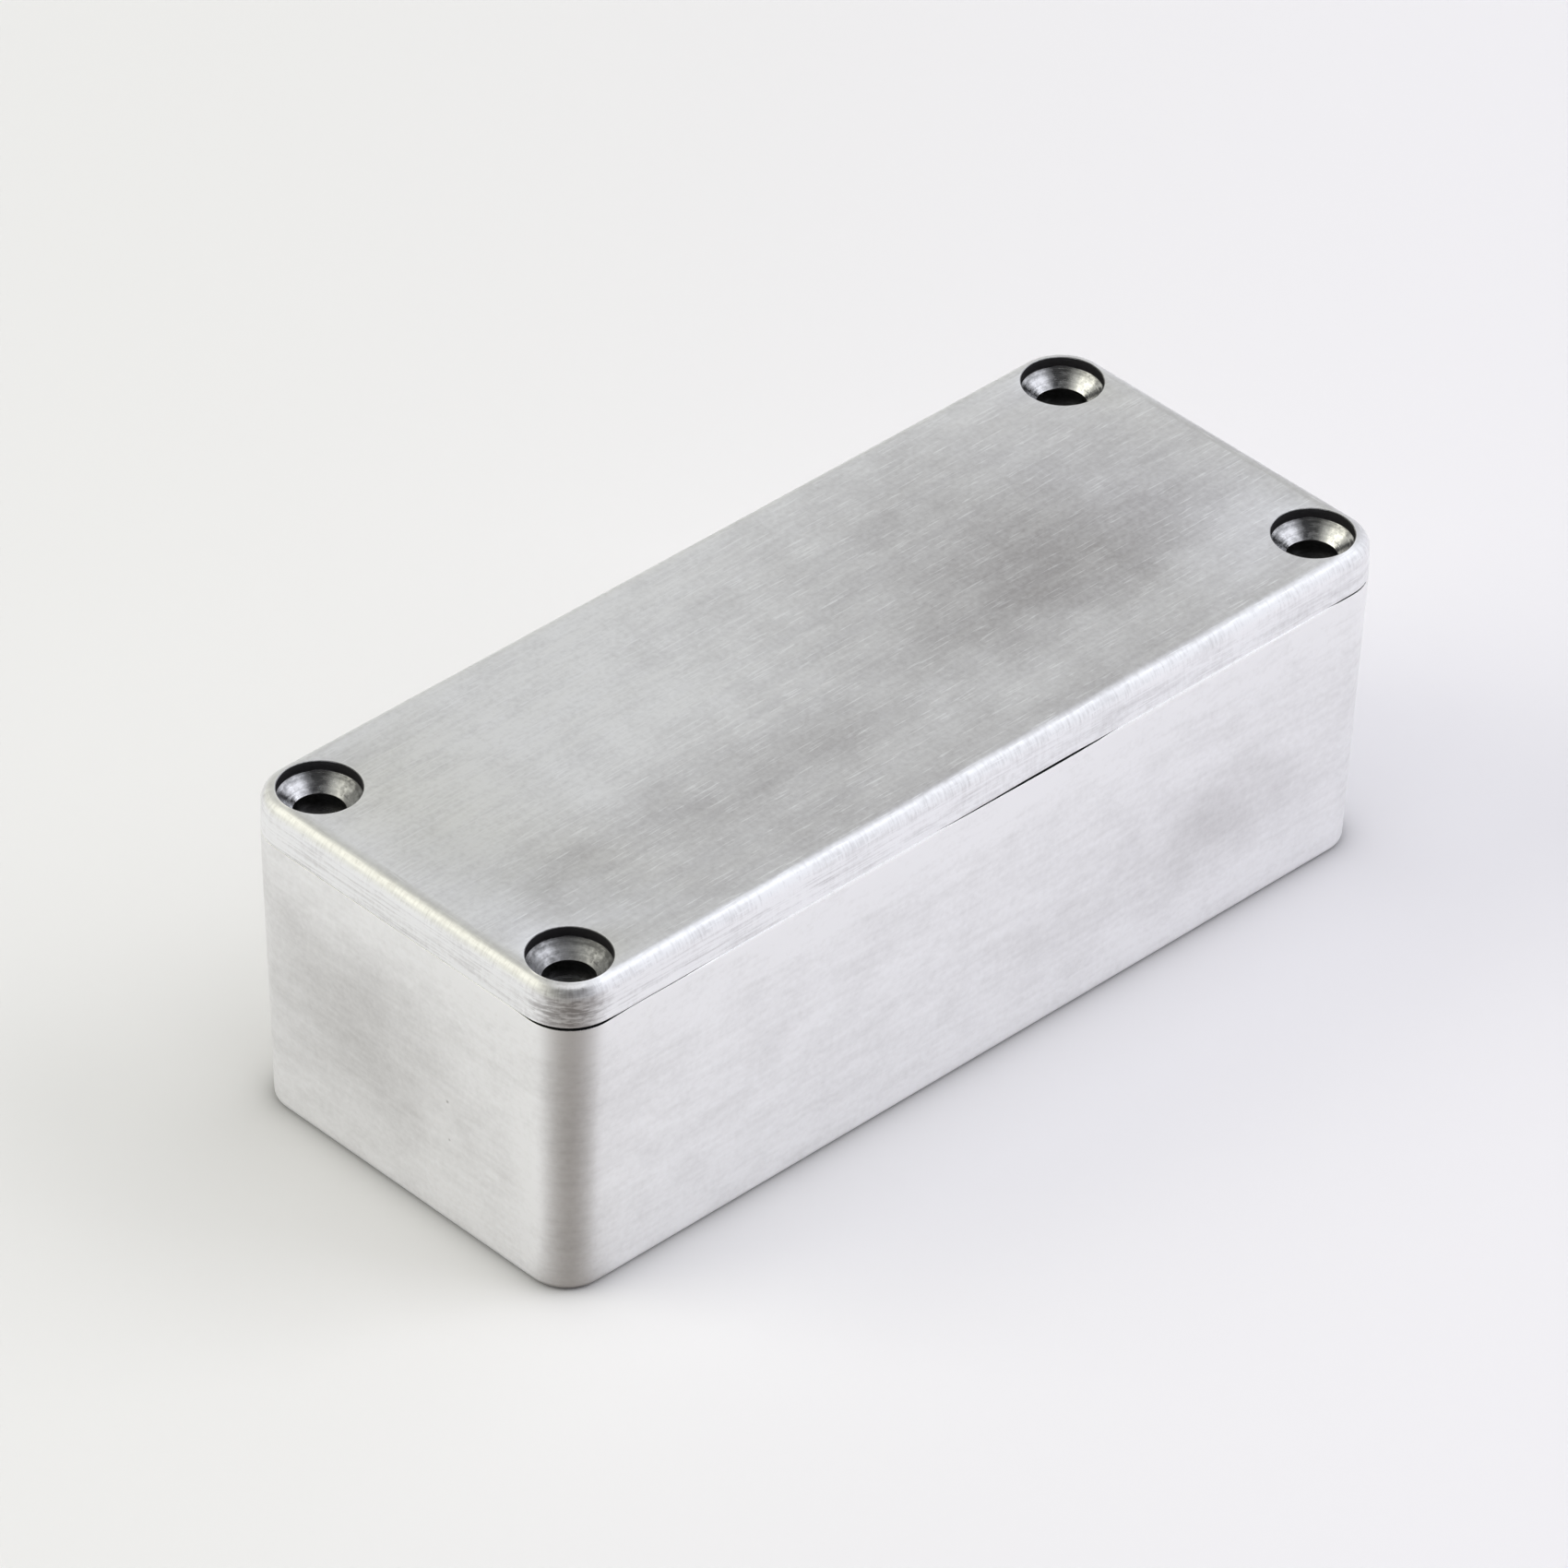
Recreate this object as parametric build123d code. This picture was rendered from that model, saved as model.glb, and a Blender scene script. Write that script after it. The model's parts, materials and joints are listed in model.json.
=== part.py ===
from build123d import *
import math
import os

# Small die cast aluminium box for electronics: an open base and a lid that sits on it.
# The base is one casting, with walls that taper in towards the bottom and a post in each
# corner with a tapped hole for a lid screw. The lid is one casting too: a plate with a
# rounded edge, a tongue below it that drops inside the walls, and four countersunk holes.
# Millimetres. +X runs along the box, +Y across it, +Z up. The origin is the middle of the
# underside, so the box stands on the plane Z = 0.

# Outside, with the length and width taken at the joint between base and lid
length = 92.6
width = 38.5
base_height = 27.2
lid_height = 3.8
corner_radius = 4.4
base_draft = 2.0  # degrees that each outer wall leans in towards the bottom
bottom_edge_radius = 0.6
joint_edge = 0.18  # bevel on both castings, along the joint

# Walls of the base
wall = 1.9
floor_thickness = 2.0
cavity_draft = 1.5
floor_bevel = 1.0

# Corner posts and their tapped holes, for No. 6 or M3.5 screws
hole_inset = 4.65  # from the outer walls to the screw's axis, at the joint
post_radius = 3.4
post_web_radius = 2.2  # where a post's webs meet the walls
web_share = 0.9  # the most of a web's width that its round may take
tapped_radius = 1.45
tapped_depth = 14.0
tapped_mouth_radius = 1.85
drill_point_angle = 118.0

# Lid
lid_draft = 0.9
lid_edge_radius = 1.25
lid_plate = 2.0
recess_draft = 3.0
recess_web_radius = 0.9

# Tongue below the lid, with its thickness taken at the plate
tongue_clearance = 0.25
tongue_thickness = 1.5
tongue_depth = 1.5
tongue_chamfer = 0.3

# Countersunk holes in the lid, deep enough to sink a screw's head below the surface
head_recess_radius = 3.5
head_recess_depth = 1.0
countersink_angle = 90.0
clearance_hole_radius = 2.2

height = base_height + lid_height
hole_x = length / 2 - hole_inset
hole_y = width / 2 - hole_inset
joint_plane = Plane((0, 0, base_height))
down = (0, 0, -1)
up = (0, 0, 1)
signs = (-1, 1)


def screw_places(z):
    """The four screw axes, at one height."""
    return [Location((sx * hole_x, sy * hole_y, z)) for sx in signs for sy in signs]


def outside_block(block_height, draft, direction):
    """A rounded block that grows from the joint's outline, narrower away from the joint."""
    outline = joint_plane * RectangleRounded(length, width, corner_radius)
    return extrude(outline, block_height, dir=direction, taper=draft)


def inside_block(inset, web_radius, top, depth, draft):
    """A block that fills the hollow, in from the walls and posts by an inset.

    Its outline at the top is a rectangle, notched by the four posts. It grows downwards. Each
    post's free corner is round about its screw, and its webs meet the walls in smaller rounds.
    """
    inner_x = length / 2 - wall - inset
    inner_y = width / 2 - wall - inset
    post_x = hole_x - post_radius - inset
    post_y = hole_y - post_radius - inset
    notch = Rectangle(2 * (inner_x - post_x), 2 * (inner_y - post_y))
    outline = Rectangle(2 * inner_x, 2 * inner_y)
    for sx in signs:
        for sy in signs:
            outline -= Pos(sx * inner_x, sy * inner_y) * notch

    def is_free_corner(vertex):
        return abs(vertex.X) < (post_x + inner_x) / 2 and abs(vertex.Y) < (post_y + inner_y) / 2

    def is_web_corner(vertex):
        return abs(vertex.X) > (hole_x + inner_x) / 2 or abs(vertex.Y) > (hole_y + inner_y) / 2

    outline = fillet(outline.vertices().filter_by(is_free_corner), post_radius + inset)
    web_length = min(inner_x - hole_x, inner_y - hole_y)
    web_radius = min(web_radius, web_share * web_length)
    outline = fillet(outline.vertices().filter_by(is_web_corner), web_radius)
    block = extrude(Plane((0, 0, top)) * outline, depth, dir=down, taper=draft)
    # One end is kept and mirrored, so that both ends have the same true cones in their rounds
    half = split(block, Plane.YZ)
    return half + mirror(half, Plane.YZ)


def tapped_hole():
    """A blind hole that opens upwards at Z = 0, with a lead-in and a drill point."""
    lead_in = tapped_mouth_radius - tapped_radius
    point = tapped_radius / math.tan(math.radians(drill_point_angle / 2))
    half_section = Polyline(
        (0, 0),
        (tapped_mouth_radius, 0),
        (tapped_radius, -lead_in),
        (tapped_radius, -tapped_depth),
        (0, -tapped_depth - point),
        close=True,
    )
    return revolve(Plane.XZ * make_face(half_section), Axis.Z)


def screw_hole():
    """A lid's hole from its top face at Z = 0 down: head recess, countersink, clearance hole."""
    cone_width = head_recess_radius - clearance_hole_radius
    cone_foot = -head_recess_depth - cone_width / math.tan(math.radians(countersink_angle / 2))
    hole_foot = -lid_height - tongue_depth
    half_section = Polyline(
        (0, 0),
        (head_recess_radius, 0),
        (head_recess_radius, -head_recess_depth),
        (clearance_hole_radius, cone_foot),
        (clearance_hole_radius, hole_foot),
        (0, hole_foot),
        close=True,
    )
    return revolve(Plane.XZ * make_face(half_section), Axis.Z)


def make_base():
    """The open casting: tapered walls, a floor, and four posts with tapped holes."""
    body = outside_block(base_height, base_draft, down)
    body = fillet(body.edges().group_by(Axis.Z)[0], bottom_edge_radius)
    body = chamfer(body.edges().group_by(Axis.Z)[-1], joint_edge)
    cavity_depth = base_height - floor_thickness
    cavity = inside_block(0, post_web_radius, base_height, cavity_depth, cavity_draft)
    body -= chamfer(cavity.edges().group_by(Axis.Z)[0], floor_bevel)
    for place in screw_places(base_height):
        body -= place * tapped_hole()
    return body


def make_lid():
    """The lid: a plate with a rounded edge, a tongue inside the walls, and four screw holes."""
    plate = outside_block(lid_height, lid_draft, up)
    plate = fillet(plate.edges().group_by(Axis.Z)[-1], lid_edge_radius)
    plate = chamfer(plate.edges().group_by(Axis.Z)[0], joint_edge)
    tongue = inside_block(tongue_clearance, post_web_radius, base_height, tongue_depth, 0)
    tongue = chamfer(tongue.edges().group_by(Axis.Z)[0], tongue_chamfer)
    recess_top = height - lid_plate
    recess_depth = recess_top - base_height + tongue_depth
    recess_inset = tongue_clearance + tongue_thickness
    recess = inside_block(recess_inset, recess_web_radius, recess_top, recess_depth, -recess_draft)
    body = plate + tongue - recess
    for place in screw_places(height):
        body -= place * screw_hole()
    return body


os.makedirs("parts", exist_ok=True)
for name, part in {"base": make_base(), "lid": make_lid()}.items():
    export_step(part, f"parts/{name}.step")
    print(name, f"{part.volume:.0f} cubic millimetres")
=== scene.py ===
# %% [markdown]
# # A small die cast aluminium box
# The real box is two castings. The base is an open tray with walls that lean in by two degrees,
# so that it could leave its mould, and a post in each corner. The lid is a plate with a round
# edge and a tongue that drops inside the walls. Both are bare aluminium, rubbed bright.
#
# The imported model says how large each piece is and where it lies. It could be shown as it is,
# with a better material. It comes as flat triangles, though, and bare metal shows every facet
# along a round edge. So this lesson works out both castings again as fine smooth skins, from
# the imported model's own sizes, and each skin stands for its piece.

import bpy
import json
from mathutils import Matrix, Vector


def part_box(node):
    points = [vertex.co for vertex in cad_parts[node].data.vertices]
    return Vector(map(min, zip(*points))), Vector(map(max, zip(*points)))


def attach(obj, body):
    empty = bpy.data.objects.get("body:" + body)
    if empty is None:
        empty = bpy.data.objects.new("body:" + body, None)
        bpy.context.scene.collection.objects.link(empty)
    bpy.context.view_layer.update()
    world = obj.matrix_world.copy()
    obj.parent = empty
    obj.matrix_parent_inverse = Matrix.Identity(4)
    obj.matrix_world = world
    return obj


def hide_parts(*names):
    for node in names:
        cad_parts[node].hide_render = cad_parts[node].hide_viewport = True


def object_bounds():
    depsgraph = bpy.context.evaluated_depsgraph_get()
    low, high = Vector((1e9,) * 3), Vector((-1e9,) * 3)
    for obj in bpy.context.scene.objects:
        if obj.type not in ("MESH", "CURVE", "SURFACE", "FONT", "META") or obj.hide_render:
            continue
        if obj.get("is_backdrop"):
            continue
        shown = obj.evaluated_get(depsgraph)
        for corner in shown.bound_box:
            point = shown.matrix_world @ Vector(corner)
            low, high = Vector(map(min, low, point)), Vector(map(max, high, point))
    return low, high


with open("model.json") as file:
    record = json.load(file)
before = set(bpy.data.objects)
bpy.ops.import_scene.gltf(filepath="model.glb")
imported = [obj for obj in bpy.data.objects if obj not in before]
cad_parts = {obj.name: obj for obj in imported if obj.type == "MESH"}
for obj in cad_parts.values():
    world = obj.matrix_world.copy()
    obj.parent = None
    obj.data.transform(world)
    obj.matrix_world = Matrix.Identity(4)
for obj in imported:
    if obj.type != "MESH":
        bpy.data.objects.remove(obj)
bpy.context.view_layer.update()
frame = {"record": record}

# %% [markdown]
# ## Sizes
# Blender works in metres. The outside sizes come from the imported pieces, and the screw holes
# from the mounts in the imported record, so nothing that the model already says is written twice.
# What it doesn't say, such as a wall's thickness or a round's radius, is named here in
# millimetres, once.

# %% Name the sizes
import json
import math

import bmesh
import bpy
import numpy as np
from mathutils import Matrix, Vector
from mathutils.geometry import delaunay_2d_cdt

mm = 0.001
base_low, base_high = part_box("base")
lid_low, lid_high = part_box("lid")
mounts = {mount["name"]: mount for mount in frame["record"]["mounts"]}
lid_holes = mounts["lid_screw_holes"]["dims"]
post_holes = mounts["tapped_holes"]["dims"]

joint_z = base_high.z  # where the lid meets the base
top_z = lid_high.z
tongue_foot_z = lid_low.z
hole_x = lid_holes["spacing_x_mm"] * mm / 2
hole_y = lid_holes["spacing_y_mm"] * mm / 2
hole_places = [(sx * hole_x, sy * hole_y) for sx in (-1, 1) for sy in (-1, 1)]

corner_radius = 4.4 * mm
base_draft = math.radians(2.0)
lid_draft = math.radians(0.9)
joint_edge = 0.18 * mm  # the bevel on both castings, along the joint
bottom_edge_radius = 0.6 * mm
lid_edge_radius = 1.25 * mm
length = lid_high.x - lid_low.x + 2 * joint_edge * math.tan(lid_draft)
width = lid_high.y - lid_low.y + 2 * joint_edge * math.tan(lid_draft)
print("at the joint, mm:", round(length / mm, 3), "by", round(width / mm, 3))

# %% [markdown]
# ## Outlines with round corners
# Every level of both castings is a closed outline with straight sides and round corners: a plain
# rectangle outside, and inside a rectangle with a notch for each post. A modifier could bevel
# the corners, but then each level would have its own number of points. Here an outline is
# computed, with the same number of points at every level, so that levels can be joined point
# to point.

# %% A helper for outlines
arc_steps = 14


def rounded_outline(corners, radii, run_steps):
    """A closed outline, counterclockwise, with an arc for each corner, and its outward normals.

    Where the outline turns by an angle t, an arc of radius r touches both edges if it starts
    r * tan(t / 2) before the corner. Its centre lies r to the side that the outline turns to,
    and its points are that first point, turned about the centre by shares of t. The straight
    run to the next arc is divided at squared sines, finely near its ends.
    """
    corners = np.asarray(corners, float)
    radii = np.broadcast_to(np.asarray(radii, float), len(corners))[:, None]
    before = corners - np.roll(corners, 1, axis=0)
    before /= np.linalg.norm(before, axis=1, keepdims=True)
    after = np.roll(before, -1, axis=0)
    cross = before[:, 0] * after[:, 1] - before[:, 1] * after[:, 0]
    turn = np.arctan2(cross, (before * after).sum(axis=1))[:, None]
    start = corners - before * radii * np.tan(np.abs(turn) / 2)
    outwards = np.stack([before[:, 1], -before[:, 0]], axis=1)
    centre = (start - outwards * radii * np.sign(turn))[:, None, :]
    angle = turn * np.linspace(0, 1, arc_steps + 1)
    cos, sin = np.cos(angle), np.sin(angle)
    arc_normal = np.stack(
        [
            cos * outwards[:, :1] - sin * outwards[:, 1:],
            sin * outwards[:, :1] + cos * outwards[:, 1:],
        ],
        axis=-1,
    )
    arc = centre + arc_normal * (radii * np.sign(turn))[:, None, :]
    share = (np.sin(np.arange(1, run_steps) / run_steps * np.pi / 2) ** 2)[None, :, None]
    run = arc[:, -1:] * (1 - share) + np.roll(arc[:, :1], -1, axis=0) * share
    run_normal = np.broadcast_to(arc_normal[:, -1:], run.shape)
    points = np.concatenate([arc, run], axis=1).reshape(-1, 2)
    normals = np.concatenate([arc_normal, run_normal], axis=1).reshape(-1, 2)
    return points, normals


x, y = length / 2, width / 2
rim_corners = [(x, y), (-x, y), (-x, -y), (x, -y)]
rim, rim_normals = rounded_outline(rim_corners, corner_radius, run_steps=64)
print("points on the outer outline:", len(rim))

# %% [markdown]
# ## The hollow's outline
# The hollow inside the base goes round four posts. Each post has a round end about its screw,
# and webs that run into the walls. The lid's tongue and the recess under the lid follow the
# same outline, a little further in, so one function makes them all.

# %% The outline inside the walls
wall = 1.9 * mm
post_radius = 3.4 * mm


def hollow_outline(inset, web_radius):
    """The outline inside the walls, moved inwards by an inset, with a notch at each corner.

    One notch is three corners: wall to web, the post's free corner, web to wall. The same
    three points are mirrored for the other quarters, and taken backwards where that keeps
    the outline going round the same way.
    """
    inner_x, inner_y = length / 2 - wall - inset, width / 2 - wall - inset
    post_x, post_y = hole_x - post_radius - inset, hole_y - post_radius - inset
    quarter = np.array([(inner_x, post_y), (post_x, post_y), (post_x, inner_y)])
    flips = [(1, 1), (-1, 1), (-1, -1), (1, -1)]
    corners = [quarter[:: sx * sy] * (sx, sy) for sx, sy in flips]
    radii = np.tile([web_radius, post_radius + inset, web_radius], 4)
    return rounded_outline(np.concatenate(corners), radii, run_steps=3)


web_radius = 2.2 * mm
hollow, hollow_normals = hollow_outline(0, web_radius)
print("points on the hollow's outline:", len(hollow))

# %% [markdown]
# ## Surfaces from outlines
# A casting's skin is made of three kinds of patch. A wall is a section carried along an outline:
# each point of the section has an inset, taken along the outline's normals, and a height. A flat
# face fills the space between one outline and the holes in it. A bore is a section turned about
# a screw's axis.
#
# Each patch also gets a map in metres, whose first direction runs the way that the abrasive or
# the cutter went. The materials draw their marks along it, so the marks go round the corners
# and round the countersinks as they do on the real box.

# %% Helpers for patches
# The dark cut metal is painted shade, for the holes and the joint's step.
CAST, MACHINED, PAINTED_SHADE = 0, 1, 2  # material slots: casting, cut metal, dark cut metal
RECESSED = RUBBED = 3  # the lid's last slot, and the base's: recess walls, and the rubbed rim
bore_steps = 96


def grid_patch(points, finish=CAST):
    """Quads between neighbouring rows of a grid of points (rows, columns, 3), closed on itself.

    The map's first coordinate is the distance along the longest row, and its second is the
    mean distance from row to row.
    """
    rows, columns = points.shape[:2]
    row, column = np.meshgrid(np.arange(rows - 1), np.arange(columns), indexing="ij")
    onward = (column + 1) % columns
    this, above = row * columns, (row + 1) * columns
    faces = np.stack([this + column, this + onward, above + onward, above + column], axis=-1)
    steps = np.linalg.norm(np.roll(points, -1, axis=1) - points, axis=2)
    along = np.concatenate([[0], np.cumsum(steps[steps.sum(axis=1).argmax()])])
    rises = np.linalg.norm(np.diff(points, axis=0), axis=2).mean(axis=1)
    across = np.concatenate([[0], np.cumsum(rises)])
    corner_u = along[np.stack([column, column + 1, column + 1, column], axis=-1)]
    corner_v = across[np.stack([row, row, row + 1, row + 1], axis=-1)]
    marks = np.stack([corner_u, corner_v], axis=-1).reshape(-1, 2)
    return points.reshape(-1, 3), faces.reshape(-1, 4).tolist(), marks, finish


def carried(outline, normals, insets, heights):
    """A section carried along an outline, as a grid of points: outline - normal * inset."""
    insets = np.asarray(insets, float).reshape(len(insets), -1, 1)
    flat = outline[None] - normals[None] * insets
    heights = np.asarray(heights, float).reshape(len(heights), -1, 1)
    return np.concatenate([flat, np.broadcast_to(heights, flat.shape[:2] + (1,))], axis=-1)


def flat_patch(loops, z, finish=CAST):
    """A level face inside the first loop and outside all the others, in triangles."""
    ends = np.cumsum([len(loop) for loop in loops]).tolist()
    rings = [list(range(end - len(loop), end)) for loop, end in zip(loops, ends)]
    flat = [Vector(point[:2]) for point in (np.concatenate(loops) / mm).tolist()]
    inside_but_not_in_holes = 2
    points, _, faces, *_ = delaunay_2d_cdt(flat, [], rings, inside_but_not_in_holes, 1e-6)
    points = np.array([tuple(point) for point in points]) * mm
    marks = points[np.concatenate([np.asarray(face) for face in faces])]
    level = np.full((len(points), 1), z)
    return np.concatenate([points, level], axis=1), [list(face) for face in faces], marks, finish


def bore(centre, radii, heights):
    """A section turned about an upright axis, as a grid of points. Radii are (rows) or a grid."""
    angle = np.arange(bore_steps) * 2 * np.pi / bore_steps
    radii = np.asarray(radii, float).reshape(len(heights), -1)
    x = centre[0] + radii * np.cos(angle)
    y = centre[1] + radii * np.sin(angle)
    z = np.broadcast_to(np.asarray(heights, float)[:, None], x.shape)
    return np.stack([x, y, z], axis=-1)


print("points round a bore:", bore_steps)

# %% [markdown]
# ## From patches to one closed skin
# The patches share their border points. They are put into one mesh, the doubled points are
# merged, and the faces are turned outwards, which a closed skin allows. Edges sharper than
# thirty degrees stay crisp, and all else is shaded smooth.

# %% A helper that joins patches
merge_distance = 0.0005 * mm
crisp_angle = math.radians(30)


def make_piece(name, node, patches):
    """One closed mesh from patches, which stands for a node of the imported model."""
    counts = [len(points) for points, *_ in patches]
    shifts = np.cumsum([0] + counts[:-1]).tolist()
    points = np.concatenate([patch[0] for patch in patches])
    faces = [
        [corner + shift for corner in face]
        for patch, shift in zip(patches, shifts)
        for face in patch[1]
    ]
    marks = np.concatenate([patch[2] for patch in patches]).astype(np.float32)
    finish = np.concatenate([np.full(len(patch[1]), patch[3]) for patch in patches])
    mesh = bpy.data.meshes.new(name)
    mesh.from_pydata(points.tolist(), [], faces)
    mesh.uv_layers.new(name="marks").data.foreach_set("uv", marks.ravel())
    mesh.polygons.foreach_set("material_index", finish.astype(np.int32))
    work = bmesh.new()
    work.from_mesh(mesh)
    bmesh.ops.remove_doubles(work, verts=work.verts, dist=merge_distance)
    bmesh.ops.recalc_face_normals(work, faces=work.faces)
    open_edges = sum(len(edge.link_faces) != 2 for edge in work.edges)
    volume = work.calc_volume() / mm**3
    work.to_mesh(mesh)
    work.free()
    mesh.polygons.foreach_set("use_smooth", np.ones(len(mesh.polygons), bool))
    mesh.set_sharp_from_angle(angle=crisp_angle)
    piece = bpy.data.objects.new(name, mesh)
    bpy.context.scene.collection.objects.link(piece)
    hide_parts(node)
    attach(piece, "root")
    print(name, "faces:", len(mesh.polygons), "open edges:", open_edges, "mm3:", round(volume))
    return piece


# %% [markdown]
# ## The joint
# The lid and the base meet along a line that is hardly seen where they touch well, and dark
# where they stand a tenth of a millimetre apart. In the photo it is darkest at the near
# corner, in the middle of the long side and at its far end. A plain V groove would catch the
# lamps and shine. So each casting is cut back along the joint by a shallow step, and the inside
# of the step is painted dark, as shade. The step's height changes along the outline: each open
# stretch adds a smooth bump to it.
#
# Where the two touch, they have rubbed each other's edges round. The base's rubbed rim shows as
# a thin line of light under the lid, along the long sides. A light colour painted there would
# be bright from everywhere. A real slope in the skin shines only where the lamps reach it.

# %% The step along the joint, and the wear beside it
step_depth = 0.25 * mm
closed_step = 0.006 * mm
open_step = 0.04 * mm  # a step that is higher than the closed one by this much isn't rubbed
base_wear = 0.02 * mm, 0.20 * mm  # how far the base's rim is worn round, least and most
lid_wear = 0.03 * mm, 0.15 * mm  # the same for the lid's lower edge
open_stretches = [  # middle, half length and added height, in millimetres
    ((-44.7, -18.0), 3.8, 0.122),
    ((-38.5, -19.25), 6.5, 0.034),
    ((-29.0, -19.25), 6.0, 0.018),
    ((4.6, -19.25), 9.2, 0.080),
    ((7.2, -19.25), 5.0, 0.055),
    ((36.0, -19.25), 4.5, 0.014),
    ((42.0, -19.25), 2.4, 0.070),
    ((46.3, 5.0), 8.0, 0.030),
    ((-46.3, 6.0), 12.0, 0.010),
    ((-12.0, 19.25), 14.0, 0.020),
]


def joint_step():
    """The step's height round the outline: bumps of size * exp(-(distance / half length)^4)."""
    height = np.full(len(rim), closed_step)
    for middle, half, size in open_stretches:
        distance = np.linalg.norm(rim / mm - middle, axis=1)
        height += size * mm * np.exp(-((distance / half) ** 4))
    return height


def worn_share(height):
    """How much of the wear each point of the rim has, from 0 to 1.

    It is the product of two shares. One is 1 - (height - closed step) / open step, because a
    rim that stands open isn't rubbed. The other is the square of the outline's normal along Y,
    so the ends have none.
    """
    closed = np.clip(1 - (height - closed_step) / open_step, 0, 1)
    return closed * rim_normals[:, 1] ** 2


step_height = joint_step()
lowest, highest = (step_height.min() / mm).round(3), (step_height.max() / mm).round(3)
print("step at the joint, mm:", lowest, "to", highest)

# %% [markdown]
# ## The outer walls
# Seen in section, each outer wall starts with that step and its worn edge, leans in as it leaves
# the joint, and ends in a round edge. A modifier could round the edges, but not let the step
# and the wear change along the joint. So the whole section is worked out: its round edge is an
# arc that touches both the leaning wall and the flat face. Narrow extra rows beside the arc
# keep its shading off the flats.

# %% The section of an outer wall
edge_steps = 14
support = 0.25 * mm  # how far the extra rows lie from an edge
wall_start = 1.0 * mm  # the plain wall's first row, from the joint
worn_section = [(1.0, 0.0), (0.2, 0.7), (0.08, 1.3), (0.0, 3.5)]  # inwards and away, times the wear
step_end, rubbed_end = 2, 4  # the last rows of the step and of the rubbed rim


def outer_wall(draft, radius, run, direction, wear):
    """The grid of an outer wall that runs up (1) or down (-1) from the joint.

    At the joint it is worn by least + (most - least) * the worn share. The arc's centre lies a
    radius inside the wall's line and a radius short of the flat face. The wall's normal leans
    by the draft, so the arc runs from that angle to a right angle.
    """
    lean = np.linspace(draft, math.pi / 2, edge_steps + 1)
    centre_inset = radius * math.cos(draft)
    centre_inset += (run - radius + radius * math.sin(draft)) * math.tan(draft)
    arc_insets = centre_inset - radius * np.cos(lean)
    arc_aways = run - radius + radius * np.sin(lean)
    wall_aways = np.array([wall_start, arc_aways[0] - support])
    first_inset = joint_edge * math.tan(draft)
    even = np.zeros(len(rim))
    least, most = wear
    worn = least + (most - least) * worn_share(step_height)
    insets = [even + step_depth, even + step_depth]
    insets += [first_inset + worn * inwards for inwards, _ in worn_section]
    insets += [even + inset for inset in (*(wall_aways * math.tan(draft)), *arc_insets)]
    insets += [even + arc_insets[-1] + support]
    aways = [even, step_height]
    aways += [step_height + worn * onwards for _, onwards in worn_section]
    aways += [even + away for away in (*wall_aways, *arc_aways, arc_aways[-1])]
    return carried(rim, rim_normals, insets, joint_z + direction * np.array(aways))


base_wall = outer_wall(base_draft, bottom_edge_radius, joint_z - base_low.z, -1, base_wear)
lid_wall = outer_wall(lid_draft, lid_edge_radius, top_z - joint_z, 1, lid_wear)
print("outer walls, rows by columns:", base_wall.shape[:2], lid_wall.shape[:2])

# %% [markdown]
# ## The tapped holes
# Each post has a blind hole, with a short lead-in, a thread for a number 6 screw and a drill
# point. A thread could be a separate helix swept round. It is simpler as part of the bore: the
# bore's radius depends on height and angle together, so that its groove climbs by one pitch in
# each turn.

# %% A bore with a thread
thread_pitch = 0.794 * mm
thread_depth = 0.28 * mm
thread_length = 11.0 * mm
rows_in_a_pitch = 10
tapped_radius = post_holes["hole_r_mm"] * mm
tapped_depth = 14.0 * mm
lead_in = 0.4 * mm
drill_angle = math.radians(118)
flat_share = 0.12  # of the groove's wave, cut off flat at its crest and at its root
tip_share = 0.05  # of the bore's radius, left flat at the drill point's tip


def tapped_bore(centre):
    """Rows from the mouth down: lead-in, threaded wall, plain wall, drill point.

    The groove's depth is a triangle wave of depth / pitch + angle / full turn, cut off flat
    at both ends of the wave, and it fades in and out over one pitch at the thread's ends.
    """
    rows = round(thread_length / thread_pitch * rows_in_a_pitch)
    depth = np.linspace(lead_in, lead_in + thread_length, rows)[:, None]
    turn = np.arange(bore_steps) / bore_steps
    wave = 1 - np.abs(2 * ((depth / thread_pitch + turn) % 1) - 1)
    ends = np.minimum(depth - lead_in, lead_in + thread_length - depth) / thread_pitch
    groove = np.clip((wave - flat_share) / (1 - 2 * flat_share), 0, 1)
    groove *= thread_depth * np.clip(ends, 0, 1)
    even = np.ones(bore_steps)
    tip = tapped_radius / math.tan(drill_angle / 2)
    radii = [even * (tapped_radius + lead_in), *(tapped_radius + groove)]
    radii += [even * tapped_radius, even * tip_share * tapped_radius]
    drops = [0, *depth[:, 0], tapped_depth, tapped_depth + (1 - tip_share) * tip]
    return bore(centre, np.array(radii), joint_z - np.array(drops))


print("turns of thread in a post:", round(thread_length / thread_pitch, 1))

# %% [markdown]
# ## The base
# The outer wall, the flat underside, the hollow's wall with a bevel along the floor, the floor,
# the rim that the lid rests on, and the four tapped holes make one closed skin. The hollow could
# be cut out of a block by a boolean, but that leaves thin, uneven triangles, which spoil the
# shading of bare metal. Here each patch ends on the same points as its neighbours.

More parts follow.
